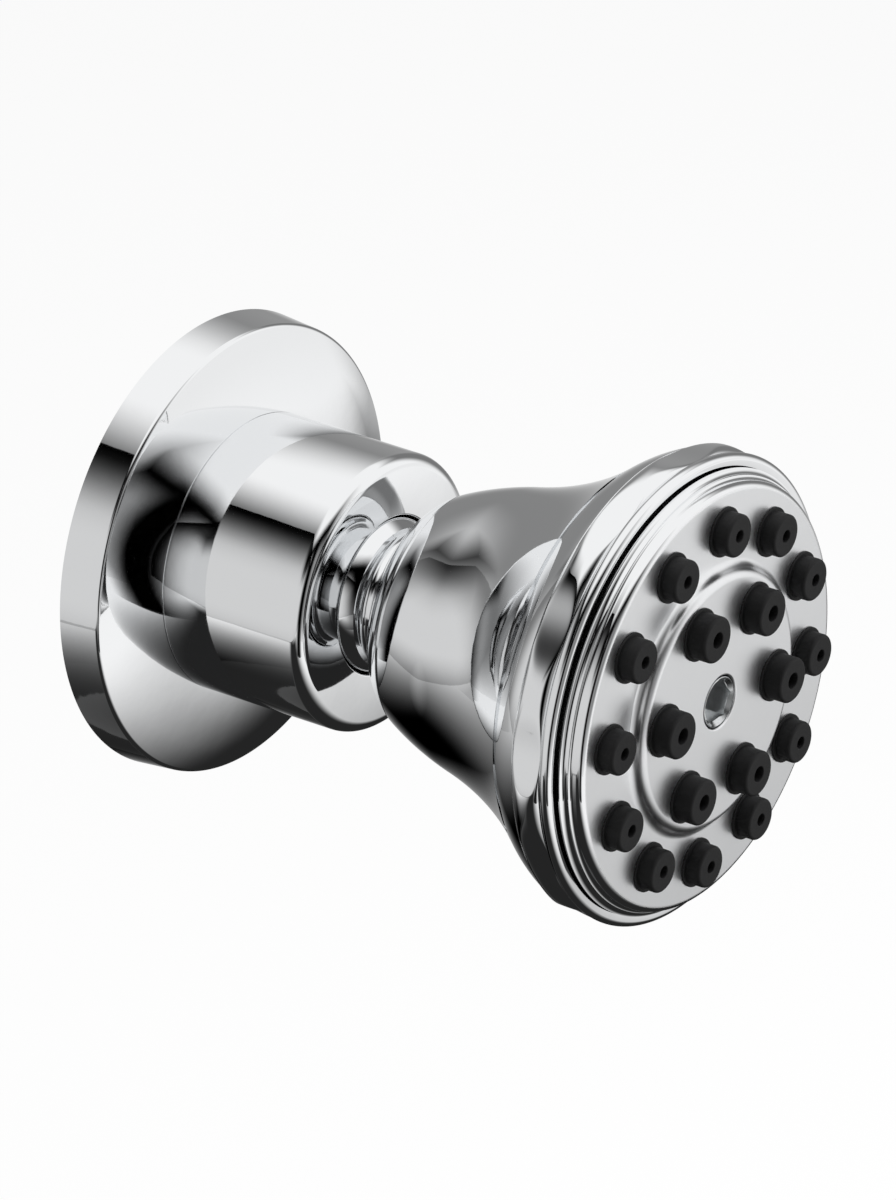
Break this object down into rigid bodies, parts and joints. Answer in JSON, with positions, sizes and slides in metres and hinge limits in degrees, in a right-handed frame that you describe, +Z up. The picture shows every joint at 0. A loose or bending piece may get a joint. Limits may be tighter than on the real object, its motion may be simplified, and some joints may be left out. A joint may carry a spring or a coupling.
{
  "type": "shower body jet",
  "caption": "Wall-mounted shower body jet: round flange, plain collar with a ball joint, and a bell-shaped swivelling head with a scalloped ring and rubber nozzles.",
  "frame": {"origin": "centre of the inlet thread's mouth, on the wall plane at the flange's back", "axes": "+Y along the inlet axis into the wall, -Y the way the jet points, +Z up"},
  "size_m": [0.06, 0.0806, 0.06],
  "materials": {
    "chrome_plate": "bright chrome plate on turned brass, mirror polished",
    "plain_brass": "as turned",
    "seal_rubber": "moulded, matt",
    "nozzle_silicone": "moulded, matt black",
    "moulded_plastic": "moulded, fine matt",
    "acetal": "turned, satin white",
    "stainless": "plain stainless steel"
  },
  "bodies": {
    "base": {"wall_flange": "chrome_plate", "wall_gasket": "seal_rubber", "inlet_body": "plain_brass", "inlet_washer": "seal_rubber", "filter_screen": "stainless", "flow_regulator": "moulded_plastic", "regulator_o_ring": "seal_rubber", "ball_seal": "seal_rubber", "ball_collar": "chrome_plate"},
    "slip": {"slip_ring": "acetal"},
    "head": {"swivel_ball": "chrome_plate", "stem_o_ring": "seal_rubber", "bell": "chrome_plate", "grip_ring": "chrome_plate", "spray_core": "moulded_plastic", "mouth_o_ring": "seal_rubber", "screw_insert": "plain_brass", "nozzle_mat": "nozzle_silicone", "face_plate": "chrome_plate", "face_screw": "stainless"}
  },
  "joints": [
    {"name": "ball_turn", "type": "hinge", "parent": "base", "child": "slip", "pos_m": [0, -0.0228, 0], "axis": [0, -1, 0], "continuous": true},
    {"name": "ball_tilt", "type": "hinge", "parent": "slip", "child": "head", "pos_m": [0, -0.0228, 0], "axis": [1, 0, 0], "range_deg": [-18, 18]}
  ]
}
